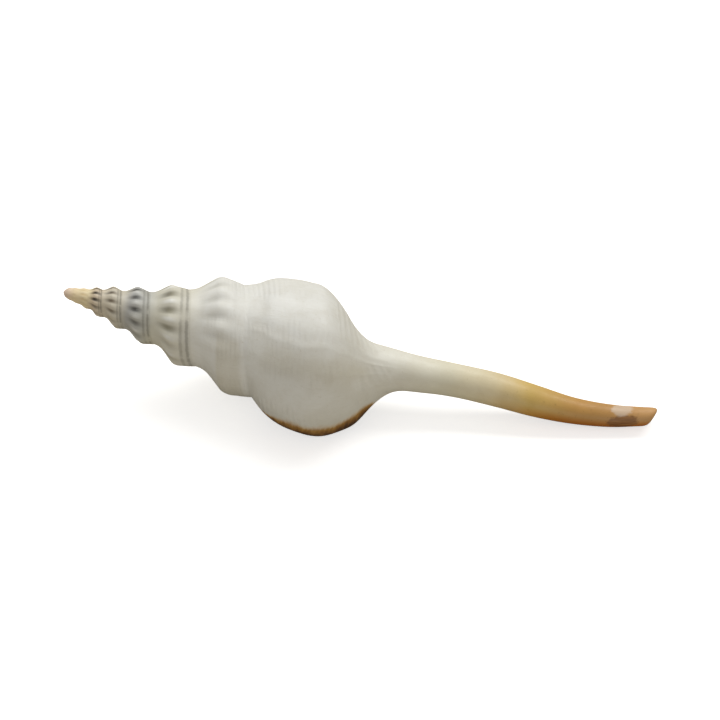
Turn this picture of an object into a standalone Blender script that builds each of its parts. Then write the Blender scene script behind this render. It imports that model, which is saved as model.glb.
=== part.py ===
# Spindle shell: one grown solid, lying on its aperture.
# The shell is first grown straight along +X, apex at X = 0, then turned into its resting pose.
# Turn 0 is the edge of the outer lip, turn -1 is one full turn before it.
import math

import bmesh
import bpy
import numpy as np
from mathutils import Matrix

MM = 0.001

# Driving dimensions of the grown shell
LENGTH = 149.5 * MM            # apex to the far end of the canal, along the coiling axis
POLE = 3.0 * MM                # the spiral's pole lies this far in front of the blunt apex
GROWTH = 1.405                 # growth for each turn
LIP_SUTURE = 54.25 * MM        # distance from the pole to the suture at the lip
APEX_RADIUS = 1.45 * MM        # the rounded first whorl

# Lying pose
LIP_ANGLE = math.radians(128.5) # the lip's edge, from straight up round by the -Y side
PITCH = math.radians(8.68)     # canal end down

# Whorl outline: distance from the pole over the distance of the whorl's own suture, then
# radius over that same distance one turn, half a turn and no turn before the lip
OUTLINE_AT = (1.0, 1.04, 1.08, 1.12, 1.165, 1.21, 1.25, 1.30, 1.35, 1.405, 1.45, 1.50, 1.55, 1.60, 1.66, 1.75, 1.9, 2.6)
TURN_BEFORE = (.262, .270, .287, .315, .350, .382, .392, .388, .380, .3681, .348, .312, .262, .205, .145, .09, .06, .02)
HALF_BEFORE = (.262, .275, .292, .319, .341, .353, .360, .3675, .370, .369, .351, .316, .270, .213, .158, .10, .06, .02)
AT_LIP = (.262, .297, .326, .346, .361, .369, .373, .374, .366, .341, .309, .256, .170, .106, .075, .05, .04, .02)

# Nodules on the shoulder of every turn of the spire
NODULE_HEIGHT = 0.05           # share of the radius
NODULE_CENTRE = 0.56           # across the whorl, suture 0 to suture 1
NODULE_REACH = 0.34

# Siphonal canal: distance from the apex, radius, bend away from the lip
CANAL_AT = tuple(v * MM for v in (60, 78, 90, 97.5, 111, 120, 130, 140, 149.5))
CANAL_RADIUS = tuple(v * MM for v in (5.6, 5.3, 4.6, 4.25, 4.2, 3.95, 3.3, 2.85, 2.6))
CANAL_BEND = tuple(v * MM for v in (0, 0, 0.8, 1.3, 1.4, 0.9, 0.7, 1.7, 3.7))

# The spire's own slight bend
SPIRE_AT = tuple(v * MM for v in (0, 9, 19, 28, 40, 60))
SPIRE_BEND = tuple(v * MM for v in (0.65, 0.45, -0.1, -0.1, 0.15, 0))
SPIRE_SLIM = (1, 0.97, 0.935, 0.95, 0.98, 1)
END_SLANT = 0.36               # the end is cut slanting

# Aperture outline at the lip: distance from the apex, radius
APERTURE = tuple((s * MM, r * MM) for s, r in (
    (54.0, 14.0), (56.0, 16.6), (59.5, 18.2), (65.0, 19.1), (69.5, 18.6), (73.5, 16.8), (76.4, 14.6),
    (78.6, 12.0), (80.2, 9.6), (81.6, 7.2), (82.6, 5.4), (81.0, 4.4), (76.0, 4.7), (70.0, 5.0),
    (65.0, 5.3), (61.5, 6.2), (58.8, 8.2), (56.8, 10.4), (55.0, 12.6)))
LIP_WALL = 1.2 * MM            # between the hollow and the outside
INNER_WALL = 0.5 * MM          # laid on the turn before
APERTURE_TURNS = 1.55
CHANNEL_FROM = 77.3 * MM
CHANNEL_RADIUS = 0.42          # share of the canal's radius
SLOT_ANGLE = math.radians(40)  # past the lip's edge

COLUMNS = 144
ROWS = 210
CANAL_ROWS = 36
TRIANGLES_LEFT = 0.12


def smooth_line(x, at, values):
    """A smooth curve through the given points."""
    x = np.clip(x, at[0], at[-1])
    at = np.asarray(at)
    values = np.asarray(values)
    slope = np.gradient(values, at)
    i = np.clip(np.searchsorted(at, x, side="right") - 1, 0, len(at) - 2)
    width = at[i + 1] - at[i]
    t = (x - at[i]) / width
    return ((2 * t**3 - 3 * t**2 + 1) * values[i] + (t**3 - 2 * t**2 + t) * width * slope[i]
            + (3 * t**2 - 2 * t**3) * values[i + 1] + (t**3 - t**2) * width * slope[i + 1])


def ease(x, low, high):
    t = np.clip((x - low) / (high - low), 0, 1)
    return t * t * (3 - 2 * t)


def whorl_radius(along, turn):
    """Radius of the outside at a distance from the apex, on the ray that the lip reached at turn."""
    far = along + POLE
    suture = LIP_SUTURE * GROWTH**turn
    k = np.minimum(np.floor(np.log(far / suture) / math.log(GROWTH) + 1e-9), 0)
    own_turn = turn + k
    own_suture = LIP_SUTURE * GROWTH**own_turn
    at = far / own_suture
    before = smooth_line(at, OUTLINE_AT, TURN_BEFORE)
    half = smooth_line(at, OUTLINE_AT, HALF_BEFORE)
    lip = smooth_line(at, OUTLINE_AT, AT_LIP)
    radius = before + (half - before) * ease(own_turn, -1.0, -0.5) + (lip - half) * ease(own_turn, -0.5, 0)
    radius = radius * own_suture * smooth_line(along, SPIRE_AT, SPIRE_SLIM)

    across = np.log(at) / math.log(GROWTH)
    phase = 11.8 * own_turn + 3 * np.exp((own_turn + 1.25) / 0.6) - 0.056
    nodule = 0.5 + 0.5 * np.cos(2 * math.pi * phase)
    band = np.exp(-((across - NODULE_CENTRE) / NODULE_REACH * 1.6)**2)
    fade = 1 - ease(own_turn, -1.2, -0.9)
    return radius * (1 + NODULE_HEIGHT * fade * band * (nodule - 0.5))


def outer_radius(along, turn):
    whorl = whorl_radius(along, turn) * (1 - ease(along, 84 * MM, 94 * MM))
    canal = smooth_line(along, CANAL_AT, CANAL_RADIUS) * ease(along, 40 * MM, 62 * MM)
    radius = (whorl**6 + canal**6)**(1 / 6)
    dome = np.clip(along / (1.2 * MM), 0, 1)
    return radius * np.sqrt(1 - (1 - dome)**2) + 0.42 * APEX_RADIUS * np.sqrt(dome) * (1 - ease(along, 0, 7 * MM))


def place(along, radius, angle):
    """Point at an angle past the lip's edge, with the canal's bend and its slanting end."""
    bend = smooth_line(along, CANAL_AT, CANAL_BEND) + smooth_line(along, SPIRE_AT, SPIRE_BEND)
    up = -radius * np.cos(angle)
    slant = END_SLANT * up * ease(along, 138 * MM, LENGTH)
    turned = LIP_ANGLE + angle
    away = LIP_ANGLE + math.pi
    y = -radius * np.sin(turned) - bend * math.sin(away)
    z = radius * np.cos(turned) + bend * math.cos(away)
    return np.stack([along + slant, y, z], axis=-1)


def add_mesh(name, points, faces, merge=0):
    mesh = bpy.data.meshes.new(name)
    mesh.from_pydata([tuple(p) for p in points], [], faces)
    bm = bmesh.new()
    bm.from_mesh(mesh)
    if merge:
        bmesh.ops.remove_doubles(bm, verts=bm.verts, dist=merge)
    bmesh.ops.recalc_face_normals(bm, faces=bm.faces)
    bm.to_mesh(mesh)
    bm.free()
    ob = bpy.data.objects.new(name, mesh)
    bpy.context.scene.collection.objects.link(ob)
    return ob


def tube(name, rings):
    """Closed solid through a list of rings with as many points each."""
    count = len(rings[0])
    points = [p for ring in rings for p in ring]
    faces = []
    for i in range(len(rings) - 1):
        for j in range(count):
            k = (j + 1) % count
            faces.append((i * count + j, i * count + k, (i + 1) * count + k, (i + 1) * count + j))
    for i in (0, len(rings) - 1):
        centre = sum(rings[i]) / count
        points.append(centre)
        for j in range(count):
            faces.append((i * count + j, i * count + (j + 1) % count, len(points) - 1))
    return add_mesh(name, points, faces)


def grow_shell():
    """The outside, with one column on each side of the step at the lip."""
    spiral = POLE * (90 * MM / POLE)**np.linspace(0, 1, ROWS) - POLE + 0.03 * MM
    along = np.concatenate([spiral, np.linspace(spiral[-1], LENGTH, CANAL_ROWS + 1)[1:]])
    angle = np.linspace(0, 2 * math.pi, COLUMNS + 1)
    grid_along, grid_angle = np.meshgrid(along, angle, indexing="ij")
    turn = grid_angle / (2 * math.pi) - 1
    radius = outer_radius(grid_along, turn)
    points = place(grid_along, radius, grid_angle).reshape(-1, 3)
    rows, width = len(along), COLUMNS + 1
    faces = []
    for i in range(rows - 1):
        for j in range(width):
            k = (j + 1) % width
            faces.append((i * width + j, i * width + k, (i + 1) * width + k, (i + 1) * width + j))
    points = list(points)
    for i, end in ((0, 0.0), (rows - 1, LENGTH)):
        points.append(place(np.array(end), np.array(0.0), np.array(0.0)))
        for j in range(width):
            faces.append((i * width + j, i * width + (j + 1) % width, len(points) - 1))
    return add_mesh("shell", points, faces, merge=2e-6)


def aperture_cutter():
    """The hollow turn behind the lip: the aperture's outline, shrinking as it winds back."""
    outline = np.array(APERTURE)
    middle = outline.mean(axis=0)
    rings = []
    for turn in np.linspace(0.015, -APERTURE_TURNS, 100):
        scale = GROWTH**turn
        close = max(0.12, 1 - float(ease(-turn, APERTURE_TURNS - 0.25, APERTURE_TURNS)))
        shape = middle + (outline - middle) * close
        along = (shape[:, 0] + POLE) * scale - POLE
        inside = whorl_radius(along, turn - 1) + INNER_WALL * scale
        outside = outer_radius(along, turn) - LIP_WALL * scale
        radius = np.minimum(np.maximum(shape[:, 1] * scale, inside), outside)
        rings.append(place(along, radius, np.full(len(along), 2 * math.pi * turn)))
    return tube("aperture cutter", rings)


def channel_cutter():
    """The channel inside the canal with the slit that opens it, past the lip's edge."""
    rings = []
    for along in np.linspace(CHANNEL_FROM, LENGTH + 6 * MM, 40):
        outer = float(smooth_line(np.array(min(along, LENGTH)), CANAL_AT, CANAL_RADIUS))
        hole = outer * CHANNEL_RADIUS * (0.6 + 0.4 * float(ease(np.array(along), CHANNEL_FROM, CHANNEL_FROM + 8 * MM)))
        half = 0.62 * hole
        start = math.asin(half / hole)
        flat = [(hole * math.cos(a), hole * math.sin(a)) for a in np.linspace(start, 2 * math.pi - start, 13)]
        flat.append((2.2 * outer, -half))
        flat.append((2.2 * outer, half))
        ring = []
        for out, side in flat:
            radius = math.hypot(out, side)
            angle = SLOT_ANGLE + math.atan2(side, out)
            ring.append(place(np.array(min(along, LENGTH)), np.array(radius), np.array(angle)))
            ring[-1] = ring[-1] + np.array([max(along - LENGTH, 0), 0, 0])
        rings.append(ring)
    return tube("channel cutter", rings)


def shell_material():
    material = bpy.data.materials.new("white shell")
    material.use_nodes = True
    shader = material.node_tree.nodes["Principled BSDF"]
    shader.inputs["Base Color"].default_value = (0.78, 0.76, 0.70, 1)
    shader.inputs["Roughness"].default_value = 0.38
    shader.inputs["Metallic"].default_value = 0
    return material


for old in list(bpy.data.objects):
    bpy.data.objects.remove(old, do_unlink=True)

shell = grow_shell()
shell.data.materials.append(shell_material())
for cutter in (channel_cutter(), aperture_cutter()):
    cutter.hide_render = True
    cutter.display_type = "WIRE"
    cut = shell.modifiers.new(cutter.name, "BOOLEAN")
    cut.operation = "DIFFERENCE"
    cut.solver = "EXACT"
    cut.object = cutter

# Turn the grown solid into its resting pose, lowest point on Z = 0, middle of the box at X = Y = 0
pose = Matrix.Rotation(PITCH, 4, "Y")
for ob in list(bpy.data.objects):
    ob.data.transform(pose)
corners = np.array([v.co for v in shell.data.vertices])
low, high = corners.min(axis=0), corners.max(axis=0)
shift = Matrix.Translation((-(low[0] + high[0]) / 2, -(low[1] + high[1]) / 2, -low[2]))
for ob in list(bpy.data.objects):
    ob.data.transform(shift)

thin = shell.modifiers.new("fewer facets", "DECIMATE")
thin.ratio = TRIANGLES_LEFT
shell.data.shade_smooth()
shell.data.set_sharp_from_angle(angle=math.radians(50))
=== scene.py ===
# %% [markdown]
# # A spindle shell
# This lesson dresses one natural piece: a long white sea shell that lies on its aperture, with a
# noduled spire, a smooth body whorl, a brown outer lip and a slender canal that turns from cream
# to burnt orange. It is computed rather than sculpted, because a shell grows by a rule: one
# outline turns round an axis and widens by the same factor in every turn, and the rule gives the
# sutures, nodules and threads their true places.

# %% Load the fixed frame
import math

import bmesh
import bpy
import numpy as np
from mathutils import Matrix, Vector


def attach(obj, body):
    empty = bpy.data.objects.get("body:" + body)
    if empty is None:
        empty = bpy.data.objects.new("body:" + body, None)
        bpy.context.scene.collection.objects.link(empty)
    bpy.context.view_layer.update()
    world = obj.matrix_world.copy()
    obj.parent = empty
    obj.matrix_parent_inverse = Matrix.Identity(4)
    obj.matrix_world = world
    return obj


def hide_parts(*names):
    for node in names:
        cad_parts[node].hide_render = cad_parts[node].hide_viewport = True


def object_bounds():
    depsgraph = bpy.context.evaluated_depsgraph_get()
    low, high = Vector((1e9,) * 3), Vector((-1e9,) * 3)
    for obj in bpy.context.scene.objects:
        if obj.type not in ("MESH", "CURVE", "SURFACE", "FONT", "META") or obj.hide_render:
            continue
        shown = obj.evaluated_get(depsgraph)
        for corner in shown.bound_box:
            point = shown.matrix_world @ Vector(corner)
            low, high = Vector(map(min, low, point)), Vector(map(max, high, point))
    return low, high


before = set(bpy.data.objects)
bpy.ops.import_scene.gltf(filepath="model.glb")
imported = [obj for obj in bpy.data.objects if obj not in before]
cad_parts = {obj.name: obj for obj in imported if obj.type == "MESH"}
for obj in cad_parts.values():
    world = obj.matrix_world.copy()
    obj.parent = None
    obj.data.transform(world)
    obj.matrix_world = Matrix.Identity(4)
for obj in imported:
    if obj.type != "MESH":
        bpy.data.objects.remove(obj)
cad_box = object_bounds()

MM = 0.001

# %% [markdown]
# ## How the shell grows
# The growing edge of the shell is its lip. We call the lip's edge turn 0 and one full turn before
# it turn -1. Every distance is measured along the coiling axis from the tip of the spire, and the
# spiral itself starts 3 mm in front of that tip, because the first whorl is a blunt little knob.
# A curve drawn by hand could give one turn; a formula gives all of them from a few values.

# %% Growth rule
TIP = -0.4 * MM  # front of the knob
LENGTH = 149.7 * MM  # far end of the canal
POLE = 3.0 * MM  # from the spiral's start to the tip
GROWTH = 1.405  # growth in each turn
LIP_SUTURE = 54.25 * MM  # from the spiral's start to the suture at the lip
APEX_RADIUS = 1.45 * MM  # of the first whorl


def smooth_line(x, at, values):
    """A smooth curve through the given points."""
    x = np.clip(x, at[0], at[-1])
    at = np.asarray(at)
    values = np.asarray(values)
    slope = np.gradient(values, at)
    i = np.clip(np.searchsorted(at, x, side="right") - 1, 0, len(at) - 2)
    width = at[i + 1] - at[i]
    t = (x - at[i]) / width
    return ((2 * t**3 - 3 * t**2 + 1) * values[i] + (t**3 - 2 * t**2 + t) * width * slope[i]
            + (3 * t**2 - 2 * t**3) * values[i + 1] + (t**3 - t**2) * width * slope[i + 1])


def ease(x, low, high):
    """0 below low, 1 above high, smooth between."""
    t = np.clip((x - low) / (high - low), 0, 1)
    return t * t * (3 - 2 * t)


def rise(along, start, end):
    """0 before start and 1 after end, both in mm along the shell, smooth between."""
    return ease(along, start * MM, end * MM)


def hill(x, centre, reach):
    """1 at the centre, falling off smoothly on both sides."""
    return np.exp(-((x - centre) / reach)**2)


def in_mm(*values):
    return tuple(v * MM for v in values)


print("suture distances from the tip, mm:",
      [round((LIP_SUTURE * GROWTH**t - POLE) / MM, 1) for t in range(0, -7, -1)])

# %% [markdown]
# ## The whorl's outline
# Cut a shell lengthwise and every turn shows the same outline: it leaves the suture, swells to a
# shoulder and draws in to the next suture. The last turn has no neighbour below, so it draws in
# much further, down to the canal. The outline changes a little as the shell grows, so it is kept
# at three ages, and the ages between are blended. Both its rows are shares of the distance from
# the spiral's start to the whorl's own suture: how far along a point is, and how far out. They
# could be curve objects, but as rows of numbers they can be scaled and blended in one line.

# %% Outlines at three ages
OUTLINE_AT = (1.0, 1.04, 1.08, 1.12, 1.165, 1.21, 1.25, 1.30, 1.35, 1.405, 1.45, 1.50, 1.55, 1.60,
              1.66, 1.75, 1.9, 2.6)
TURN_BEFORE = (.262, .270, .287, .315, .350, .382, .392, .388, .380, .3681, .348, .312, .262, .205,
               .145, .09, .06, .02)
HALF_BEFORE = (.262, .275, .292, .319, .341, .353, .360, .3675, .370, .369, .351, .316, .270, .213,
               .158, .10, .06, .02)
AT_LIP = (.262, .297, .326, .346, .361, .369, .373, .374, .366, .341, .309, .256, .170, .106,
          .075, .05, .04, .02)
SPIRE_AT = in_mm(0, 9, 19, 26, 33, 42, 50, 60)
SPIRE_BEND = in_mm(0.65, 0.45, -0.1, -0.1, 0.15, 0.55, 0.3, 0)
SPIRE_SLIM = (1, 0.97, 0.935, 0.945, 1, 1, 1.01, 1)
ON_SUTURE = 1e-9  # a point this close to a suture counts as past it


def spiral_place(along, turn):
    """Whorls passed between a point on a turn's ray and that turn's own suture."""
    return np.log((along + POLE) / (LIP_SUTURE * GROWTH**turn)) / math.log(GROWTH)


def whorl_place(along, turn):
    """Own turn of a point on a turn's ray, and its place across from its suture, 0, to the next, 1."""
    u = spiral_place(along, turn)
    k = np.minimum(np.floor(u + ON_SUTURE), 0)
    return turn + k, u - k


print("outline points:", len(OUTLINE_AT), "widest share of the radius:", max(TURN_BEFORE))

# %% [markdown]
# ## Nodules
# Each turn of the spire carries a row of rounded nodules on its shoulder. There are about twelve
# in the early turns and more in the later ones, and the last of them stands a little over one turn
# before the lip. From there on the shoulder is only a blunt keel. The nodules are fat and the gaps
# between them narrow, so the row is a flattened cosine; a hill across the whorl keeps it on the
# shoulder. No shell is regular: a few gaps come a little early or late. The tip's own first turns
# are almost smooth. Sculpted nodules would have to be placed one by one. As a part of the radius
# they grow with the turns, and the colours can find them again.

# %% Nodule row and keel
NODULE_HEIGHT = 0.07  # share of the radius
NODULE_CENTRE = 0.54  # across the whorl
NODULE_REACH = (0.30, 0.23)  # across the whorl, on the early and on the later turns
NODULE_LEVEL = 0.54  # the part of the wave that neither stands out nor sinks in
NODULE_FATNESS = 0.85
GAP_FLOOR = 0.02  # rounds the bottom of the gaps
NODULES_A_TURN = 11.58
NODULE_AT_LIP = -0.208  # the count at the lip's edge
KEEL_HEIGHT = 0.02  # share of the radius
KEEL_REACH = 0.24  # across the whorl
TIP_CONE = 0.262  # the tip tends to a plain cone of this slope


def nodule_phase(own_turn):
    """Count of nodules up to a place; it is whole on top of each of them."""
    later = 3.7 * np.exp((own_turn + 1.25) / 0.8) + 0.2 * ease(-own_turn, 1.6, 2.1)
    uneven_turns = 0.35 * ease(-own_turn, 4.5, 5.1) + 0.5 * hill(own_turn, -2.5, 0.12)
    return NODULES_A_TURN * own_turn + later + uneven_turns + NODULE_AT_LIP


def nodule_row(own_turn, across):
    """Strength of the row of nodules at a place."""
    fading = (1 - 0.35 * ease(own_turn, -1.75, -1.4)) * (1 - ease(own_turn, -1.26, -1.14))
    early, later = NODULE_REACH
    reach = early + (later - early) * ease(own_turn, -5.2, -3.2)
    return hill(across, NODULE_CENTRE, reach) * fading


def nodule_wave(own_turn):
    """0 in the middle of a gap, 1 on top of a nodule."""
    wave = np.cos(math.pi * nodule_phase(own_turn))**2
    return ((wave + GAP_FLOOR) / (1 + GAP_FLOOR))**NODULE_FATNESS


def keel(own_turn, across):
    """Strength of the blunt keel that follows the last nodule."""
    tent = np.clip(1 - np.abs(across - NODULE_CENTRE) / KEEL_REACH, 0, 1)
    return tent * ease(own_turn, -1.27, -1.17) * (1 - ease(own_turn, -0.95, -0.7))


def whorl_radius(along, turn):
    """Radius of the whorls with nodules and keel, without the canal."""
    own_turn, across = whorl_place(along, turn)
    at = GROWTH**across
    before = smooth_line(at, OUTLINE_AT, TURN_BEFORE)
    half = smooth_line(at, OUTLINE_AT, HALF_BEFORE)
    lip = smooth_line(at, OUTLINE_AT, AT_LIP)
    radius = before + (half - before) * ease(own_turn, -1.0, -0.5) + (lip - half) * ease(own_turn, -0.5, 0)
    radius = radius * GROWTH**-across
    radius = radius + (TIP_CONE - radius) * 0.7 * (1 - rise(along, 3, 9))
    radius = radius * (along + POLE) * smooth_line(along, SPIRE_AT, SPIRE_SLIM)
    nodules = nodule_row(own_turn, across) * (nodule_wave(own_turn) - NODULE_LEVEL)
    nodules = nodules * (0.5 + 0.5 * rise(along, 4, 9))
    return radius * (1 + NODULE_HEIGHT * nodules + KEEL_HEIGHT * keel(own_turn, across))


last_row = float(nodule_phase(-1.3) - nodule_phase(-2.3))
print("nodules on the last turn that has them:", round(last_row, 1))

# %% [markdown]
# ## Canal, threads and growth rests
# The animal breathes through a tube, the siphonal canal. It is thick-walled, follows the axis with
# a slight wave, and ends in a slanting cut. Fine raised threads wind round the shell with the
# growth; most are worn away, so they come and go in patches. Where growth paused, a low ridge
# still follows the lip's old edge. Threads and ridges stay at about a tenth of a millimetre or
# less, which is enough for the light. A displacement texture could raise them too, but it would
# cross the sutures, while the radius follows them.

# %% Canal and outer surface
CANAL_AT = in_mm(60, 72, 80, 90, 97.5, 111, 120, 130, 140, 149.5)
CANAL_RADIUS = in_mm(5.6, 5.5, 5.3, 4.6, 4.25, 4.2, 3.95, 3.3, 2.85, 2.6)
CANAL_BEND = in_mm(0, 0, 0.4, 0.8, 1.3, 1.4, 0.9, 0.7, 1.7, 3.7)
END_SLANT = 0.36  # how much the far end is cut slanting
SLANT_FROM = 138 * MM
DOME = 1.3 * MM  # length of the rounded front of the knob
LIP_ANGLE = math.radians(128.5)  # the lip's edge, from straight up
THREADS = 15  # threads across a whorl
WIDE_THREADS = 9
THREAD_HEIGHT = 0.02 * MM
WORN_THREADS = 0.12  # strength left where the threads are worn
# Turn, half width in turns and height in mm of each ridge
RESTS = ((-0.09, 0.008, 0.05), (-0.205, 0.011, 0.09), (-0.262, 0.008, 0.11), (-0.30, 0.016, 0.10),
         (-0.36, 0.012, 0.05), (-0.52, 0.015, 0.06), (-0.71, 0.012, 0.05), (-0.86, 0.014, 0.06),
         (-1.07, 0.010, 0.05), (-1.19, 0.012, 0.05))


def outer_radius(along, turn):
    """Radius of the whorls and the canal together, with the knob at the tip."""
    whorl = whorl_radius(along, turn) * (1 - rise(along, 84, 94))
    canal = smooth_line(along, CANAL_AT, CANAL_RADIUS) * rise(along, 40, 62)
    radius = (whorl**6 + canal**6)**(1 / 6)
    dome = np.clip((along - TIP) / DOME, 0, 1)
    knob = 0.26 * APEX_RADIUS * np.sqrt(dome) * (1 - rise(along, 0, 7))
    return radius * np.sqrt(1 - (1 - dome)**2) + knob


def thread_relief(along, turn):
    """Height of the threads; two crossing waves leave them in patches."""
    angle = 2 * math.pi * turn
    u = spiral_place(along, turn)
    patches = np.sin(3 * angle + along / (4.5 * MM)) * np.sin(2 * angle - along / (7 * MM) + 1.0)
    strength = WORN_THREADS + (1 - WORN_THREADS) * ease(patches, 0.1, 0.7)
    wave = np.cos(2 * math.pi * THREADS * u) + 0.5 * np.cos(2 * math.pi * WIDE_THREADS * u + 1.0)
    return THREAD_HEIGHT * wave * strength * rise(along, 12, 36) * (1 - rise(along, 80, 92))


def rest_relief(along, turn):
    """Height of the low ridges that old lip edges left on the last turns."""
    own_turn, across = whorl_place(along, turn)
    waver = 0.006 * np.sin(along / (3.4 * MM)) + 0.002 * np.sin(along / (1.3 * MM) + 1.0)
    height = sum(size * MM * hill(own_turn + waver, at, reach) for at, reach, size in RESTS)
    return height * rise(along, 25, 40) * (1 - rise(along, 76, 86)) * ease(across, 0.0, 0.15)


def lip_corner(along, turn):
    """The lip's lower corner stands out a little, and so does the canal's root behind it."""
    corner = 0.65 * MM * hill(along, 77.6 * MM, 2.1 * MM) * ease(turn, -0.10, -0.01)
    root = 0.55 * MM * hill(along, 82.5 * MM, 2.6 * MM) * ease(np.cos(2 * math.pi * turn), 0.2, 1.0)
    return corner + root


def bend_at(along):
    return smooth_line(along, CANAL_AT, CANAL_BEND) + smooth_line(along, SPIRE_AT, SPIRE_BEND)


def place(along, radius, angle):
    """Point at an angle past the lip's edge, with the bends and the slanting end."""
    bend = bend_at(along)
    from_lip = -radius * np.cos(angle)
    slant = END_SLANT * from_lip * ease(along, SLANT_FROM, LENGTH)
    turned = LIP_ANGLE + angle
    away = LIP_ANGLE + math.pi
    y = -radius * np.sin(turned) - bend * math.sin(away)
    z = radius * np.cos(turned) + bend * math.cos(away)
    return np.stack([along + slant, y, z], axis=-1)


body_whorl = float(outer_radius(np.array(65 * MM), -0.5))
print("radius of the body whorl, mm:", round(body_whorl / MM, 2))

# %% [markdown]
# ## Meshing the outside
# The outside is a grid: rows along the axis, columns round it. At the lip the last turn ends in a
# step, so the grid has one column on each side of the step, and the wall between them closes it.
# Where there is no step the two columns fall together and are merged. The rows are closer on the
# small early turns, a blend of even spacing and of spacing that grows with the shell. A Screw
# modifier can't change the outline on its way, so every point is computed.

# %% Outside grid
COLUMNS = 216
SPIRAL_ROWS = 300
CANAL_ROWS = 84
SPIRAL_TO = 90 * MM  # the spiral rows end here, and even canal rows follow
FIRST_ROW = 0.03 * MM
GROWING_SHARE = 0.55  # share of the growing spacing
MERGE = 2e-6


def add_mesh(name, points, faces, merge=0):
    mesh = bpy.data.meshes.new(name)
    mesh.from_pydata([tuple(p) for p in points], [], faces)
    bm = bmesh.new()
    bm.from_mesh(mesh)
    if merge:
        bmesh.ops.remove_doubles(bm, verts=bm.verts, dist=merge)
    bmesh.ops.recalc_face_normals(bm, faces=bm.faces)
    bm.to_mesh(mesh)
    bm.free()
    ob = bpy.data.objects.new(name, mesh)
    bpy.context.scene.collection.objects.link(ob)
    return ob


def ring_faces(rings, count):
    """Four-sided faces between neighbouring rings of points."""
    faces = []
    for i in range(rings - 1):
        for j in range(count):
            k = (j + 1) % count
            faces.append((i * count + j, i * count + k, (i + 1) * count + k, (i + 1) * count + j))
    return faces


def close_ring(faces, ring, count, middle):
    """Fan of triangles from a ring to the point in its middle."""
    for j in range(count):
        faces.append((ring * count + j, ring * count + (j + 1) % count, middle))


def grow_outside():
    growing = POLE * (SPIRAL_TO / POLE)**np.linspace(0, 1, SPIRAL_ROWS) - POLE + FIRST_ROW
    even = np.linspace(growing[0], growing[-1], SPIRAL_ROWS)
    spiral = GROWING_SHARE * growing + (1 - GROWING_SHARE) * even + TIP * (1 - rise(growing, 0, 5))
    along = np.concatenate([spiral, np.linspace(spiral[-1], LENGTH, CANAL_ROWS + 1)[1:]])
    angle = np.linspace(0, 2 * math.pi, COLUMNS + 1)
    grid_along, grid_angle = np.meshgrid(along, angle, indexing="ij")
    turn = grid_angle / (2 * math.pi) - 1
    radius = outer_radius(grid_along, turn)
    for relief in (thread_relief, rest_relief, lip_corner):
        radius = radius + relief(grid_along, turn)
    points = list(place(grid_along, radius, grid_angle).reshape(-1, 3))
    rows, width = len(along), COLUMNS + 1
    faces = ring_faces(rows, width)
    for row, end in ((0, TIP), (rows - 1, LENGTH)):
        points.append(place(np.array(end), np.array(0.0), np.array(0.0)))
        close_ring(faces, row, width, len(points) - 1)
    return add_mesh("shell_body", points, faces, merge=MERGE)


shell = grow_outside()
print("outside faces:", len(shell.data.polygons))

# %% [markdown]
# ## The hollow
# The living shell is a coiled tube. Its mouth, the aperture, is the outline that the hollow had at
# the lip, and the hollow shrinks by the growth factor as it winds back. It keeps clear of the
# outside by the lip's wall and of the turn before by a thinner one. Solidify would give a thin
# skin everywhere, so the hollow is its own closed body, which is cut away below.

# %% Cutter for the hollow
# Distance along the shell and radius of the aperture's corners, in mm
APERTURE = (
    (54.0, 14.0), (56.0, 16.6), (59.5, 18.2), (65.0, 19.1), (69.5, 18.6), (73.5, 16.8), (76.4, 14.6),
    (78.6, 12.0), (80.2, 9.6), (81.6, 7.2), (82.6, 5.4), (81.0, 4.4), (76.0, 4.7), (70.0, 5.0),
    (65.0, 5.3), (61.5, 6.2), (58.8, 8.2), (56.8, 10.4), (55.0, 12.6))
APERTURE_POINTS = 57
APERTURE_RINGS = 170
APERTURE_TURNS = 1.55  # how far the hollow winds back
PAST_LIP = 0.015  # turns that the cutter stands out past the lip's edge
CLOSING_TURNS = 0.25  # the hollow's end narrows over these turns
END_SHARE = 0.12  # and keeps this share of its outline
LIP_WALL = 1.2 * MM
INNER_WALL = 0.5 * MM


def tube(name, rings):
    """Closed solid through a list of rings with as many points each."""
    count = len(rings[0])
    points = [p for ring in rings for p in ring]
    faces = ring_faces(len(rings), count)
    for i in (0, len(rings) - 1):
        points.append(sum(rings[i]) / count)
        close_ring(faces, i, count, len(points) - 1)
    return add_mesh(name, points, faces)


def rounded_outline(corners, count):
    """A smooth closed curve through the corners."""
    corners = np.array(corners)
    looped = np.concatenate([corners[-3:], corners, corners[:3]])
    at = np.arange(len(looped)) - 3.0
    t = np.linspace(0, len(corners), count, endpoint=False)
    return np.stack([smooth_line(t, at, looped[:, 0]), smooth_line(t, at, looped[:, 1])], axis=-1)


def aperture_cutter():
    outline = rounded_outline([in_mm(*corner) for corner in APERTURE], APERTURE_POINTS)
    middle = outline.mean(axis=0)
    rings = []
    for turn in np.linspace(PAST_LIP, -APERTURE_TURNS, APERTURE_RINGS):
        scale = GROWTH**turn
        closed = float(ease(-turn, APERTURE_TURNS - CLOSING_TURNS, APERTURE_TURNS))
        shape = middle + (outline - middle) * max(END_SHARE, 1 - closed)
        along = (shape[:, 0] + POLE) * scale - POLE
        inside = whorl_radius(along, turn - 1) + INNER_WALL * scale
        outside = outer_radius(along, turn) - LIP_WALL * scale
        radius = np.minimum(np.maximum(shape[:, 1] * scale, inside), outside)
        rings.append(place(along, radius, np.full(len(along), 2 * math.pi * turn)))
    return tube("hollow cutter", rings)


print("aperture corners:", len(APERTURE), "rings of the hollow:", APERTURE_RINGS)


# %% [markdown]
# ## The channel
# A second cutter opens the canal along its underside: a round hole with a slot out of it. The slot
# starts at the aperture, so that the two join, and drifts a little round the canal from there. A
# groove pressed into the outside would be simpler, but a real canal is a tube with a slit.

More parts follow.
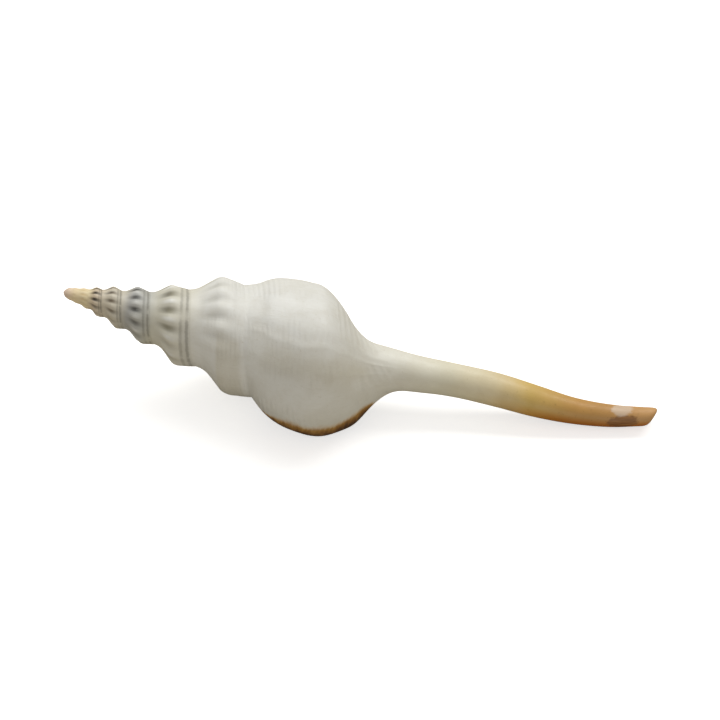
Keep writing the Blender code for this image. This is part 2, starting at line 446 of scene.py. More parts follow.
# %% Cutter for the channel
CHANNEL_FROM = 77.3 * MM
CHANNEL_OPENS = 8 * MM  # length over which it reaches its full width
CHANNEL_RINGS = 90
CHANNEL_PAST_END = 6 * MM
HOLE_SHARE = 0.42  # share of the canal's radius
HOLE_POINTS = 25
SLOT_SHARE = 0.62  # half the slot's width, as a share of the hole's radius
SLOT_REACH = 2.2  # the cutter reaches this many radii out
SLOT_ANGLE = (math.radians(10), math.radians(40))


def channel_cutter():
    rings = []
    for along in np.linspace(CHANNEL_FROM, LENGTH + CHANNEL_PAST_END, CHANNEL_RINGS):
        on_shell = np.array(min(along, LENGTH))
        outer = float(smooth_line(on_shell, CANAL_AT, CANAL_RADIUS))
        opened = float(ease(along, CHANNEL_FROM, CHANNEL_FROM + CHANNEL_OPENS))
        hole = outer * HOLE_SHARE * (0.6 + 0.4 * opened)
        half = SLOT_SHARE * hole * (0.3 + 0.7 * opened)
        slot = SLOT_ANGLE[0] + (SLOT_ANGLE[1] - SLOT_ANGLE[0]) * float(rise(along, 77, 98))
        start = math.asin(half / hole)
        round_hole = np.linspace(start, 2 * math.pi - start, HOLE_POINTS)
        flat = [(hole * math.cos(a), hole * math.sin(a)) for a in round_hole]
        flat.append((SLOT_REACH * outer, -half))
        flat.append((SLOT_REACH * outer, half))
        past_end = np.array([max(along - LENGTH, 0), 0, 0])
        ring = []
        for out, side in flat:
            radius = math.hypot(out, side)
            angle = slot + math.atan2(side, out)
            ring.append(place(on_shell, np.array(radius), np.array(angle)) + past_end)
        rings.append(ring)
    return tube("channel cutter", rings)


print("widest hole, mm:", round(HOLE_SHARE * max(CANAL_RADIUS) / MM, 2))


# %% [markdown]
# ## Cutting
# Both are cut away with a Boolean. An exact Boolean can lose the whole shell where two surfaces
# all but touch. Unless the shell has more faces than before, the cutter moves by a hair and cuts
# again.

# %% Cut the hollow and the channel
CUT_TRIES = 6
HAIR = 0.004 * MM


def cut_away(ob, cutter):
    for _ in range(CUT_TRIES):
        cut = ob.modifiers.new(cutter.name, "BOOLEAN")
        cut.operation = "DIFFERENCE"
        cut.solver = "EXACT"
        cut.object = cutter
        graph = bpy.context.evaluated_depsgraph_get()
        mesh = bpy.data.meshes.new_from_object(ob.evaluated_get(graph))
        ob.modifiers.clear()
        if len(mesh.polygons) > len(ob.data.polygons):
            break
        cutter.data.transform(Matrix.Translation((HAIR, 0, 0)))
    ob.data = mesh
    bpy.data.objects.remove(cutter, do_unlink=True)


for make_cutter in (channel_cutter, aperture_cutter):
    cut_away(shell, make_cutter())
    print("after", make_cutter.__name__, len(shell.data.polygons), "faces")

# %% [markdown]
# ## Worn edges
# No edge of a real shell is knife-sharp. The rims that the cuts left are found by the angle
# between their faces, and the points on and beside them are relaxed towards their neighbours.
# Where a cut left the same face twice, back to back, both copies go, which keeps the mesh closed.

# %% Relax the cut rims
RIM_ANGLE = math.radians(40)
RIM_ROUNDS = 5
RIM_RINGS = 2  # rings of neighbours that are relaxed too


def delete_doubled_faces(bm):
    alike = {}
    for face in bm.faces:
        alike.setdefault(frozenset(v.index for v in face.verts), []).append(face)
    doubled = [face for faces in alike.values() if len(faces) > 1 for face in faces]
    bmesh.ops.delete(bm, geom=doubled, context="FACES")
    return len(doubled)


def soften_rims(mesh):
    bm = bmesh.new()
    bm.from_mesh(mesh)
    bm.normal_update()
    near = set()
    for edge in bm.edges:
        if len(edge.link_faces) == 2 and edge.calc_face_angle(0) > RIM_ANGLE:
            near.update(edge.verts)
    for _ in range(RIM_RINGS):
        near.update([e.other_vert(v) for v in list(near) for e in v.link_edges])
    for _ in range(RIM_ROUNDS):
        bmesh.ops.smooth_vert(bm, verts=list(near), factor=0.5,
                              use_axis_x=True, use_axis_y=True, use_axis_z=True)
    bmesh.ops.triangulate(bm, faces=[f for f in bm.faces if len(f.verts) > 4])
    bm.verts.index_update()
    doubled = delete_doubled_faces(bm)
    open_edges = sum(1 for edge in bm.edges if len(edge.link_faces) != 2)
    print("doubled faces taken out:", doubled, "open edges:", open_edges)
    bm.to_mesh(mesh)
    bm.free()
    return len(near)


print("points relaxed at the rims:", soften_rims(shell.data))

# %% [markdown]
# ## Reading the growth back
# The finishes follow the growth: stains sit between nodules, the brown border follows the lip, the
# orange deepens along the canal. Each point's place in the grown shell is worked back from its
# position. The bend and the slant depend on the very distance that is sought, so it is found by
# repeating the same few lines. Points of the lip's wall just past its edge belong to the last turn.

# %% Growth coordinates on the mesh
STEP_ANGLE = 0.15  # the lip's wall is looked for this far past the edge
STEP_MARGIN = 0.15 * MM


def grown_coordinates(points):
    """Distance along, radius and angle past the lip of points on the bent, slanting shell."""
    away = LIP_ANGLE + math.pi
    along = points[:, 0].copy()
    for _ in range(12):
        bend = bend_at(along)
        y = points[:, 1] + bend * math.sin(away)
        z = points[:, 2] - bend * math.cos(away)
        radius = np.hypot(y, z)
        angle = (np.arctan2(-y, z) - LIP_ANGLE) % (2 * math.pi)
        from_lip = -radius * np.cos(angle)
        along = points[:, 0] - END_SLANT * from_lip * ease(along, SLANT_FROM, LENGTH)
    return np.clip(along, TIP, LENGTH), radius, angle


points = np.empty(len(shell.data.vertices) * 3)
shell.data.vertices.foreach_get("co", points)
points = points.reshape(-1, 3)
along, radius, angle = grown_coordinates(points)
past_lip = (angle < STEP_ANGLE) & (radius > outer_radius(along, angle / (2 * math.pi) - 1) + STEP_MARGIN)
turn = (angle + 2 * math.pi * past_lip) / (2 * math.pi) - 1
own_turn, across = whorl_place(along, turn)
outside = outer_radius(along, turn)
hollow_share = float((radius < outside - 0.4 * MM).mean())
print("points:", len(points), "share inside the hollow:", round(hollow_share, 3))

# %% [markdown]
# ## Where the markings are
# Each mark is a plain formula of the growth place, with soft edges, stored on the mesh as a named
# attribute: the gaps between nodules, darkened partly by grime and partly by painted shade, a
# painted highlight on the nodules' tops, the border of the lip, painted shade below the keel and
# behind a growth rest, and painted shade on the low side of the canal. Noise in the material breaks
# their edges up.

# %% Masks
def store(mesh, name, values):
    values = np.asarray(values, dtype=np.float32)
    kind = "FLOAT_VECTOR" if values.ndim == 2 else "FLOAT"
    made = mesh.attributes.new(name, kind, "POINT")
    made.data.foreach_set("vector" if values.ndim == 2 else "value", values.ravel())


from_lip = -np.cos(angle)  # -1 at the lip's edge, 1 on the far side
inner = ease(outside - radius, 0.25 * MM, 0.7 * MM)
outer = 1 - inner
straight = np.stack([along, radius * np.cos(angle), radius * np.sin(angle)], axis=-1) / MM

# The gaps are darkened, partly grime and partly painted shade in the recesses, less so near the lip's
# side, and the nodules' tops get a painted highlight
gap = ease(0.66 - nodule_wave(own_turn), 0, 0.60) * nodule_row(own_turn, across)**1.1
gap = gap**(0.5 + 0.5 * rise(along, 9, 12))
gap = gap * (0.3 + 0.7 * ease(from_lip, -0.75, -0.15))
# painted highlight on the nodules' tops
knob = ease(nodule_wave(own_turn), 0.8, 1.0) * nodule_row(own_turn, across)**2

# The border is widest on the lip's middle and narrows towards the canal; widths are in turns
rim_width = 0.035 + 0.057 * rise(along, 50, 61) - 0.006 * rise(along, 69, 76)
rim_width = rim_width * (1 - 0.8 * rise(along, 77, 83))
rim = ease(own_turn, -rim_width, -0.1 * rim_width)
rim = rim * (1 - rise(along, 79.5, 82)) * ease(across, -0.02, 0.1)

# Painted shade lies below the keel of the turn before the last, and along one growth rest, on the sides
# that these ridges turn away from the light
lee_shade = ease(across, 0.52, 0.57) * (1 - ease(across, 0.86, 0.98))
lee_shade = lee_shade * ease(own_turn, -1.245, -1.21) * (1 - ease(own_turn, -0.85, -0.7))
# painted shade just past one growth rest's ridge
rest = hill(own_turn, -0.212, 0.036) * rise(along, 48, 56) * (1 - rise(along, 74, 82))

# Up to 0.5 the inside nears the lip, and above that lies the lip's wall
edge = 0.5 * ease(own_turn, -0.10, -0.01) * inner + 0.5 * ease(own_turn, -0.006, -0.001)
masks = {
    "gap": gap * outer,
    "knob": knob * outer,
    "rim": rim * np.where(past_lip, 1, outer),
    "lee_shade": np.maximum(lee_shade, rest) * outer,
    # painted shade on the canal's lower side
    "low_side_shade": ease(-from_lip, 0.3, 0.95) * rise(along, 106, 128),
    "edge": edge * (1 - rise(along, 81, 84)),
}
store(shell.data, "grown", straight)
for name, values in masks.items():
    store(shell.data, name, values)
    print(name, "mean:", round(float(values.mean()), 4))

# %% [markdown]
# ## Lying down
# The shell rests on three points: the edge of its lip, the belly of the last turn and the canal.
# The lip's edge already lies 128.5 degrees round from the top. The canal's end is lowered here by
# 8.7 degrees, and the shell moves to the middle of the solid's box and down to its floor. A drop
# in a simulation could find such a pose, but the solid lies already, and both have to agree.

# %% Resting pose
PITCH = math.radians(8.68)

shell.data.transform(Matrix.Rotation(PITCH, 4, "Y"))
corners = np.array([v.co for v in shell.data.vertices])
low, high = corners.min(axis=0), corners.max(axis=0)
cad_low, cad_high = np.array(cad_box[0]), np.array(cad_box[1])
shift = (cad_low + cad_high) / 2 - (low + high) / 2
shift[2] = cad_low[2] - low[2]
shell.data.transform(Matrix.Translation(shift))
shell.data.shade_smooth()
print("visual box mm:", ((low + shift) / MM).round(1), ((high + shift) / MM).round(1))

# %% [markdown]
# ## Node helpers
# The finishes are node trees. Small helpers keep them short: one adds a node with its settings and
# links, others add one Math, Mix, ramp or noise node each, and one turns a given colour
# into the linear values that Blender's sockets hold.

# %% Helpers for node trees
def colour(red, green, blue):
    """Linear colour from a colour as it is seen on a screen."""
    seen = (red, green, blue)
    return tuple(c / 12.92 if c <= 0.04045 else ((c + 0.055) / 1.055)**2.4 for c in seen) + (1,)


def feed(tree, socket, value):
    """Links a socket to another one, or sets it to a plain value."""
    if isinstance(value, bpy.types.NodeSocket):
        tree.links.new(value, socket)
    else:
        socket.default_value = value


def put(tree, kind, inputs=None, **settings):
    """A shader node with its settings and inputs."""
    made = tree.nodes.new("ShaderNode" + kind)
    for name, value in settings.items():
        setattr(made, name, value)
    for name, value in (inputs or {}).items():
        feed(tree, made.inputs[name], value)
    return made


def maths(tree, operation, *values, clamp=False):
    inputs = dict(enumerate(values))
    return put(tree, "Math", inputs, operation=operation, use_clamp=clamp).outputs[0]


def times(tree, first, *others):
    """Product of all the values."""
    for other in others:
        first = maths(tree, "MULTIPLY", first, other)
    return first


def between(tree, value, low, high):
    """0 below low and 1 above high, smooth between; high may be the smaller one."""
    inputs = {"Value": value, "From Min": low, "From Max": high}
    return put(tree, "MapRange", inputs, interpolation_type="SMOOTHSTEP").outputs["Result"]


def span(tree, where, low, high):
    """The same for a distance along the shell in mm."""
    return between(tree, where["Along"], low, high)


def blend(tree, share, under, over, mode="MIX"):
    made = put(tree, "Mix", data_type="RGBA", blend_type=mode)
    for socket, value in ((0, share), (6, under), (7, over)):
        feed(tree, made.inputs[socket], value)
    return made.outputs[2]


def ramp(tree, value, stops):
    """Colour ramp; all stops are placed before they are coloured, because placing sorts them."""
    made = put(tree, "ValToRGB", {"Fac": value})
    line = made.color_ramp
    while len(line.elements) < len(stops):
        line.elements.new(1.0)
    for element, (at, shade) in zip(line.elements, stops):
        element.position = at
    for element, (at, shade) in zip(line.elements, stops):
        element.color = colour(*shade)
    return made.outputs["Color"]


def mottle(tree, vector, size, detail=4.0, rough=0.6):
    """Soft noise; size is that of its blotches in the vector's own unit."""
    inputs = {"Vector": vector, "Scale": 1 / size, "Detail": detail, "Roughness": rough}
    return put(tree, "TexNoise", inputs).outputs["Fac"]


def wander(tree, noise, reach):
    """Noise moved to lie evenly about 0, from half the reach below to half of it above."""
    return times(tree, maths(tree, "SUBTRACT", noise, 0.5), reach)


def new_group(name, inputs, outputs):
    """Empty shader group; every name that ends in Place or Line stands for a vector."""
    tree = bpy.data.node_groups.new(name, "ShaderNodeTree")
    for labels, way in ((inputs, "INPUT"), (outputs, "OUTPUT")):
        for label in labels:
            kind = "NodeSocketVector" if label.endswith(("Place", "Line")) else "NodeSocketFloat"
            tree.interface.new_socket(name=label, in_out=way, socket_type=kind)
    return tree, tree.nodes.new("NodeGroupInput").outputs, tree.nodes.new("NodeGroupOutput").inputs


def give_out(tree, out, **values):
    """Links values to a group's outputs; an underscore in a name stands for a space."""
    for label, value in values.items():
        tree.links.new(value, out[label.replace("_", " ")])


print("mid grey, linear:", round(colour(0.5, 0.5, 0.5)[0], 3))


# %% [markdown]
# ## Growth place, a shared group
# Both layers of the shell are marked along its growth, so both need the same coordinates at every
# point: how far from the tip, how far across its own whorl, and where it lies on a thread. They
# are worked out in the shader, where they stay sharp at the sutures. The last output is a vector
# that hardly changes along the shell: noise in it makes streaks that run with its length.

# %% Group: growth place
STREAK_STRETCH = 0.012


def growth_place_group():
    tree, given, out = new_group("Growth place", ["Grown Place"],
                                 ["Along", "Across", "Threads", "Growth Line"])
    grown = given["Grown Place"]
    parts = put(tree, "SeparateXYZ", {0: grown}).outputs
    round_it = maths(tree, "ARCTAN2", parts["Z"], parts["Y"])
    share = maths(tree, "FRACT", maths(tree, "DIVIDE", round_it, 2 * math.pi))
    turn = maths(tree, "SUBTRACT", share, 1.0)
    far = maths(tree, "MAXIMUM", maths(tree, "ADD", parts["X"], POLE / MM), 0.5)
    growths = maths(tree, "LOGARITHM", maths(tree, "DIVIDE", far, LIP_SUTURE / MM), math.e)
    u = maths(tree, "SUBTRACT", maths(tree, "DIVIDE", growths, math.log(GROWTH)), turn)
    k = maths(tree, "MINIMUM", maths(tree, "FLOOR", u), 0.0)
    threads = maths(tree, "COSINE", maths(tree, "MULTIPLY", u, 2 * math.pi * THREADS))
    flat = put(tree, "VectorMath", {0: grown, 1: (0, 1, 1)}, operation="MULTIPLY")
    unit = put(tree, "VectorMath", {0: flat.outputs[0]}, operation="NORMALIZE")
    unit_parts = put(tree, "SeparateXYZ", {0: unit.outputs[0]}).outputs
    stretched = maths(tree, "MULTIPLY", parts["X"], STREAK_STRETCH)
    line = put(tree, "CombineXYZ", {"X": stretched, "Y": unit_parts["Y"], "Z": unit_parts["Z"]})
    give_out(tree, out, Along=parts["X"], Across=maths(tree, "SUBTRACT", u, k), Threads=threads,
             Growth_Line=line.outputs[0])
    return tree


growth_place = growth_place_group()
print(growth_place.name, "nodes:", len(growth_place.nodes))


# %% [markdown]
# ## Wear, a shared group
# Sand and handling leave fine pits on a shell, and its surface clouds in soft blotches. One group
# makes both from noise at two sizes, with named inputs for the sizes and the share of pits.

# %% Group: wear
PIT_DEPTH = 9.0


def wear_group():
    tree, given, out = new_group("Wear", ["Place", "Blotch Size", "Pit Size", "Pit Share"],
                                 ["Blotches", "Pits", "Grain"])

    def noise(size, detail, rough):
        scale = maths(tree, "DIVIDE", 1.0, size)
        inputs = {"Vector": given["Place"], "Scale": scale, "Detail": detail, "Roughness": rough}
        return put(tree, "TexNoise", inputs).outputs["Fac"]

    blotches = between(tree, noise(given["Blotch Size"], 5.0, 0.62), 0.36, 0.66)
    grain = noise(given["Pit Size"], 3.0, 0.6)
    rest_of_it = maths(tree, "SUBTRACT", 1.0, given["Pit Share"])
    pits = maths(tree, "MULTIPLY", maths(tree, "SUBTRACT", grain, rest_of_it), PIT_DEPTH, clamp=True)
    give_out(tree, out, Blotches=blotches, Pits=pits, Grain=grain)
    return tree


wear = wear_group()
print("groups:", [g.name for g in bpy.data.node_groups])

# %% [markdown]
# ## The outer layer
# The colour runs along the shell: a beige tip, a stained grey-brown early spire, a white body and
# a canal that turns from cream to burnt orange. Over that lie the marks: grime and painted shade
# between nodules, a painted highlight on their tops, painted shade below the keel, past a growth
# rest and on the canal's low side, two dark lines with a haze between them before each early
# suture, the brown border of the lip with its ticks, and near the canal's end one bare and one dark
# patch. All of it is painted by formulas broken up with noise. The colours were picked.

# %% Colours of the outer layer
# Distance from the tip in mm, and the shell's colour there
ALONG_COLOURS = (
    (0.0, (.96, .86, .79)), (2.5, (.97, .89, .73)), (6.0, (.96, .90, .74)),
    (7.5, (.88, .81, .71)), (10.0, (.87, .83, .75)), (14.8, (.84, .82, .76)),
    (17.0, (.74, .74, .73)), (21.0, (.78, .78, .75)), (23.5, (.87, .86, .80)),
    (31.0, (.91, .90, .85)), (36.0, (.96, .96, .94)), (44.0, (.95, .95, .93)),
    (60.0, (.94, .94, .92)), (86.0, (.95, .94, .89)), (98.0, (.94, .92, .83)),
    (108.0, (.92, .86, .71)), (118.0, (.88, .75, .44)), (130.0, (.81, .62, .34)),
    (138.0, (.79, .60, .35)), (149.5, (.85, .66, .43)))
# Share of the shell's length, and the colour there of the grime and painted shade in gaps and sutures
GRIME_AND_SHADE_COLOURS = (
    (0.0, (.93, .84, .66)), (0.036, (.90, .81, .62)), (0.050, (.11, .09, .04)),
    (0.066, (.13, .10, .05)), (0.082, (.46, .41, .34)), (0.12, (.32, .32, .31)),
    (0.15, (.37, .37, .35)), (0.18, (.56, .54, .46)), (0.22, (.62, .61, .54)),
    (0.27, (.74, .74, .71)), (1.0, (.74, .74, .71)))
# From the border's soft inner side to the lip's very edge
BORDER_COLOURS = (
    (0.0, (.90, .83, .68)), (0.16, (.86, .73, .48)), (0.38, (.77, .59, .31)),
    (0.68, (.60, .42, .19)), (1.0, (.30, .17, .06)))
LINE_GREY = colour(.36, .34, .29)
SHADE_WARM = colour(.80, .76, .66)
# Painted highlight on the nodules' tops
NODULE_PAINTED_HIGHLIGHT = colour(.97, .97, .95)
# Painted shade below the keel and past one growth rest
PAINTED_LEE_SHADE = colour(.90, .88, .83)
# Painted shade on the canal's lower side
LOW_SIDE_PAINTED_SHADE = colour(.92, .73, .43)
BARE_PATCH = colour(.88, .79, .69)
DARK_PATCH = colour(.40, .22, .04)
DARK_PATCH_STREAKS = colour(.70, .50, .31)


def start_material(name, blotch_size, pit_size, pit_share):
    """New material with both shared groups, fed with the grown place of each point; sizes in mm."""
    made = bpy.data.materials.new(name)
    made.use_nodes = True
    made.node_tree.nodes.clear()
    tree = made.node_tree
    read = put(tree, "Attribute", attribute_name="grown", attribute_type="GEOMETRY")
    grown = read.outputs["Vector"]
    where = put(tree, "Group", {"Grown Place": grown}, node_tree=growth_place)
    inputs = {"Place": grown, "Blotch Size": blotch_size, "Pit Size": pit_size, "Pit Share": pit_share}
    worn = put(tree, "Group", inputs, node_tree=wear)
    return made, grown, where.outputs, worn.outputs


def mask(tree, name):
    return put(tree, "Attribute", attribute_name=name, attribute_type="GEOMETRY").outputs["Fac"]


def finish_material(tree, base, rough, height, bump_depth, **others):
    """Bump and Principled shader; an underscore in a name stands for a space."""
    strength, depth = bump_depth
    bump = put(tree, "Bump", {"Height": height, "Strength": strength, "Distance": depth})
    inputs = {"Base Color": base, "Roughness": rough, "Normal": bump.outputs["Normal"]}
    for label, value in others.items():
        inputs[label.replace("_", " ")] = value
    principled = put(tree, "BsdfPrincipled", inputs)
    put(tree, "OutputMaterial", {"Surface": principled.outputs["BSDF"]})


print("colours along the shell:", len(ALONG_COLOURS))


# %% [markdown]
# ## Lines, threads, grime, painted shade and highlights
# Each mark is one function: it takes the colour so far and gives it back with the mark on it. The
# sizes of the noise are in mm.

# %% Marks of the whorls
# Centre across the whorl, half width in full strength, half width in all, strength
SUTURE_LINES = ((0.83, 0.01, 0.062, 0.7), (0.955, 0.01, 0.062, 1.0), (0.90, 0.05, 0.12, 0.30))
SUTURE_LINE_SHARE = 0.52


def along_colour(tree, grown, where):
    drift = wander(tree, mottle(tree, grown, 9.0, 3.0), 7.0)
    drift = times(tree, drift, span(tree, where, 4, 60))
    share = maths(tree, "DIVIDE", maths(tree, "ADD", where["Along"], drift), LENGTH / MM)
    return ramp(tree, share, [(at * MM / LENGTH, shade) for at, shade in ALONG_COLOURS])


def with_growth_lines(tree, where, blotches, base):
    """Faint lines and soft clouds; the lines are also given back, for the bump."""
    lines = mottle(tree, where["Growth Line"], 0.035, 4.0, 0.7)
    seen = times(tree, between(tree, lines, 0.50, 0.75), 0.11)
    base = blend(tree, seen, base, SHADE_WARM, "MULTIPLY")
    return blend(tree, times(tree, blotches, 0.16), base, SHADE_WARM, "MULTIPLY"), lines


def with_threads(tree, grown, where, base):
    """Threads in patches, on the later turns but not on the canal, and their height; the valleys
    between the threads get painted shade.
    """
    there = times(tree, span(tree, where, 34, 44), span(tree, where, 92, 78))
    patches = between(tree, mottle(tree, grown, 9.0, 3.0), 0.48, 0.68)
    # painted shade in the valleys between the threads
    groove_shade = times(tree, between(tree, where["Threads"], 0.1, -0.9), there, patches, 0.06)
    whole = between(tree, mottle(tree, grown, 11.0, 2.0), 0.50, 0.60)
    raised = times(tree, where["Threads"], there, whole)
    return blend(tree, groove_shade, base, LINE_GREY, "MULTIPLY"), raised


def with_suture_lines(tree, grown, where, base):
    """Two grey lines and a haze before each suture of the early turns."""
    early = times(tree, span(tree, where, 6, 8), span(tree, where, 45, 32))
    broken = between(tree, mottle(tree, where["Growth Line"], 0.5, 3.0), 0.25, 0.50)
    wavy = maths(tree, "ADD", where["Across"], wander(tree, mottle(tree, grown, 0.7, 3.0), 0.05))
    lines = 0.0
    for centre, full, reach, strength in SUTURE_LINES:
        away = maths(tree, "ABSOLUTE", maths(tree, "SUBTRACT", wavy, centre))
        lines = maths(tree, "MAXIMUM", lines, times(tree, between(tree, away, reach, full), strength))
    return blend(tree, times(tree, lines, early, broken, SUTURE_LINE_SHARE), base, LINE_GREY)


def with_grime_and_shade(tree, grown, where, base):
    """Grime and painted shade in the gaps and sutures, a painted highlight on the nodule tops,
    painted shade past the keel and a growth rest, and where the gaps are.
    """
    dirt_and_shade = ramp(tree, maths(tree, "DIVIDE", where["Along"], LENGTH / MM), GRIME_AND_SHADE_COLOURS)
    # the gaps are darkened: partly grime, partly painted shade in the recesses
    gap = times(tree, mask(tree, "gap"), span(tree, where, 60, 20))
    gap = times(tree, gap, between(tree, mottle(tree, grown, 1.2, 4.0), 0.05, 0.35))
    gap = times(tree, gap, span(tree, where, 1, 5))
    base = blend(tree, times(tree, gap, 0.95), base, dirt_and_shade)
    # painted highlight on the nodules' tops
    painted_highlight = times(tree, mask(tree, "knob"), span(tree, where, 12, 24), 0.80)
    base = blend(tree, painted_highlight, base, NODULE_PAINTED_HIGHLIGHT)
    # painted shade below the keel and past one growth rest
    base = blend(tree, times(tree, mask(tree, "lee_shade"), 0.55), base, PAINTED_LEE_SHADE, "MULTIPLY")
    # the sutures are darkened: partly grime, partly painted shade in the creases
    suture = times(tree, between(tree, where["Across"], 0.05, 0.0), span(tree, where, 50, 30))
    return blend(tree, times(tree, suture, 0.25), base, dirt_and_shade), gap


print("lines before a suture:", len(SUTURE_LINES))


# %% [markdown]
# ## Canal patches and the border
# The patches are ellipses in distance along and angle round the canal, and noise makes their edges
# ragged. The dark one has streaks that run with the canal. The border's ticks are noise stretched
# across the lip, which moves both its tone and its inner edge.

# %% Marks of the canal and the lip
# Distances along in mm, angles past the lip's edge in degrees
DARK_PATCH_AT = ((138.6, 146.2), (262, 352))
BARE_PATCH_AT = ((138.9, 143.7), (186, 268))
TICK_STRETCH = (1.0, 0.25, 0.25)


def patch(tree, where, grown, at, soft, rough_edge):
    """Ragged patch between two distances along and two angles past the lip."""
    parts = put(tree, "SeparateXYZ", {0: grown}).outputs
    turned = maths(tree, "ARCTAN2", parts["Z"], parts["Y"])
    turned = times(tree, maths(tree, "FRACT", maths(tree, "DIVIDE", turned, 2 * math.pi)), 360.0)
    squares = []
    for value, (low, high) in zip((where["Along"], turned), at):
        off = maths(tree, "DIVIDE", maths(tree, "SUBTRACT", value, (low + high) / 2), (high - low) / 2)
        squares.append(maths(tree, "POWER", off, 2.0))
    away = maths(tree, "SQRT", maths(tree, "ADD", *squares))
    ragged = wander(tree, mottle(tree, grown, 1.6, 5.0, 0.7), rough_edge)
    return between(tree, maths(tree, "ADD", away, ragged), 1.0 + soft, 1.0 - soft)


def with_canal_marks(tree, grown, where, base):
    # painted shade, a deeper orange, on the canal's lower side
    base = blend(tree, mask(tree, "low_side_shade"), base, LOW_SIDE_PAINTED_SHADE, "MULTIPLY")
    flecks = between(tree, mottle(tree, grown, 1.1, 4.0), 0.62, 0.72)
    flecks = times(tree, flecks, span(tree, where, 106, 122), 0.16)
    base = blend(tree, flecks, base, DARK_PATCH)
    streaks = between(tree, mottle(tree, where["Growth Line"], 0.07, 4.0), 0.40, 0.60)
    dark_shade = blend(tree, times(tree, streaks, 0.75), DARK_PATCH, DARK_PATCH_STREAKS)
    dark = patch(tree, where, grown, DARK_PATCH_AT, 0.16, 1.2)
    base = blend(tree, times(tree, dark, 0.82), base, dark_shade)
    bare = patch(tree, where, grown, BARE_PATCH_AT, 0.24, 1.0)
    return blend(tree, times(tree, bare, 0.80), base, BARE_PATCH)


def with_border(tree, grown, base):
    """Brown border along the lip, with ticks across it."""
    stretched = put(tree, "VectorMath", {0: grown, 1: TICK_STRETCH}, operation="MULTIPLY")
    ticks = mottle(tree, stretched.outputs[0], 1.5, 4.0, 0.6)
    rim = mask(tree, "rim")
    tone = maths(tree, "ADD", rim, wander(tree, ticks, 1.3), clamp=True)
    border = ramp(tree, tone, BORDER_COLOURS)
    share = between(tree, maths(tree, "ADD", rim, wander(tree, ticks, 0.35)), 0.04, 0.50)
    return blend(tree, share, base, border)


print("patches, mm and degrees:", DARK_PATCH_AT, BARE_PATCH_AT)


# %% [markdown]
# ## Outer layer, put together
# The marks go on in the order in which they lie on the shell: colour and lines first, then grime
# with painted shade and highlights, the canal's painted shade and patches and the border, and pits
# over all. The surface is satin.

# %% Outer layer material
def outer_layer():
    made, grown, where, worn = start_material("outer layer", 6.0, 0.55, 0.36)
    tree = made.node_tree
    blotches, pits, grain = worn["Blotches"], worn["Pits"], worn["Grain"]
    base = along_colour(tree, grown, where)
    base, lines = with_growth_lines(tree, where, blotches, base)
    base, raised = with_threads(tree, grown, where, base)
    base = with_suture_lines(tree, grown, where, base)
    base, gap = with_grime_and_shade(tree, grown, where, base)
    base = with_canal_marks(tree, grown, where, base)
    base = with_border(tree, grown, base)
    base = blend(tree, times(tree, pits, 0.30), base, SHADE_WARM, "MULTIPLY")
    rough = maths(tree, "ADD", 0.42, times(tree, blotches, 0.12))
    rough = maths(tree, "ADD", rough, times(tree, pits, 0.20))
    rough = maths(tree, "ADD", rough, times(tree, gap, 0.2))
    height = maths(tree, "ADD", times(tree, lines, 0.35), times(tree, grain, 0.35))
    height = maths(tree, "ADD", height, times(tree, raised, 0.5))
    gloss = times(tree, between(tree, blotches, 0.9, 0.2), 0.10)
    finish_material(tree, base, rough, height, (0.25, 0.35 * MM),
                    IOR=1.45, Coat_Weight=gloss, Coat_Roughness=0.18)
    return made


outer_material = outer_layer()
print("outer layer nodes:", len(outer_material.node_tree.nodes))


# %% [markdown]
# ## The lining
# Inside the aperture and the canal the shell is smooth and a little pink, like glazed china. It
# grows browner towards the lip in blotches, and the lip's wall has the border's brown.

# %% Lining material
LINING = colour(.93, .90, .85)
LINING_CLOUDS = colour(.91, .85, .79)
LINING_CANAL = colour(.80, .66, .48)
LINING_STAIN = colour(.66, .51, .33)
LIP_WALL_BROWN = colour(.46, .30, .13)
LINING_DEPTH = 0.45  # faces whose points are further inside than this belong to it


def lining():
    made, grown, where, worn = start_material("lining", 7.0, 0.8, 0.30)
    tree = made.node_tree
    base = blend(tree, worn["Blotches"], LINING, LINING_CLOUDS)
    base = blend(tree, span(tree, where, 92, 132), base, LINING_CANAL)
    edge_mask = mask(tree, "edge")
    stained = between(tree, edge_mask, 0.0, 0.5)
    stained = times(tree, stained, between(tree, mottle(tree, grown, 1.8, 2.0), 0.15, 0.75), 0.75)
    base = blend(tree, stained, base, LINING_STAIN)
    base = blend(tree, between(tree, edge_mask, 0.5, 0.9), base, LIP_WALL_BROWN)
    base = blend(tree, times(tree, worn["Pits"], 0.25), base, SHADE_WARM, "MULTIPLY")
    rough = maths(tree, "ADD", 0.20, times(tree, worn["Blotches"], 0.10))
    lines = mottle(tree, where["Growth Line"], 0.05, 3.0)
    height = maths(tree, "ADD", lines, times(tree, worn["Grain"], 0.2))
    finish_material(tree, base, rough, height, (0.12, 0.3 * MM),
                    IOR=1.52, Coat_Weight=0.3, Coat_Roughness=0.1)
    return made


shell.data.materials.clear()
for layer in (outer_material, lining()):
    shell.data.materials.append(layer)
depth = np.array([inner[list(p.vertices)].mean() for p in shell.data.polygons])
shell.data.polygons.foreach_set("material_index", (depth > LINING_DEPTH).astype(np.int32))
print("lining faces:", int((depth > LINING_DEPTH).sum()), "of", len(depth))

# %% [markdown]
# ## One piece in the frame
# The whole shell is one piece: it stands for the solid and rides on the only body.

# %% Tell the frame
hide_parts("shell")
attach(shell, "root")
print("piece:", shell.name, "materials:", [m.name for m in shell.data.materials])

# %% [markdown]
# ## Studio
# The shell lies on a plain white table. The camera sees the floor as white paper with only a soft
# shadow, while the shell itself gets less light from it, as off grey card, which keeps the
# underside from glowing. A node that knows camera rays from others makes the choice.

# %% Floor
FLOOR_HALF = 3.0
PAPER_GLOW = 0.62
DIM_PAPER = colour(.68, .65, .58)


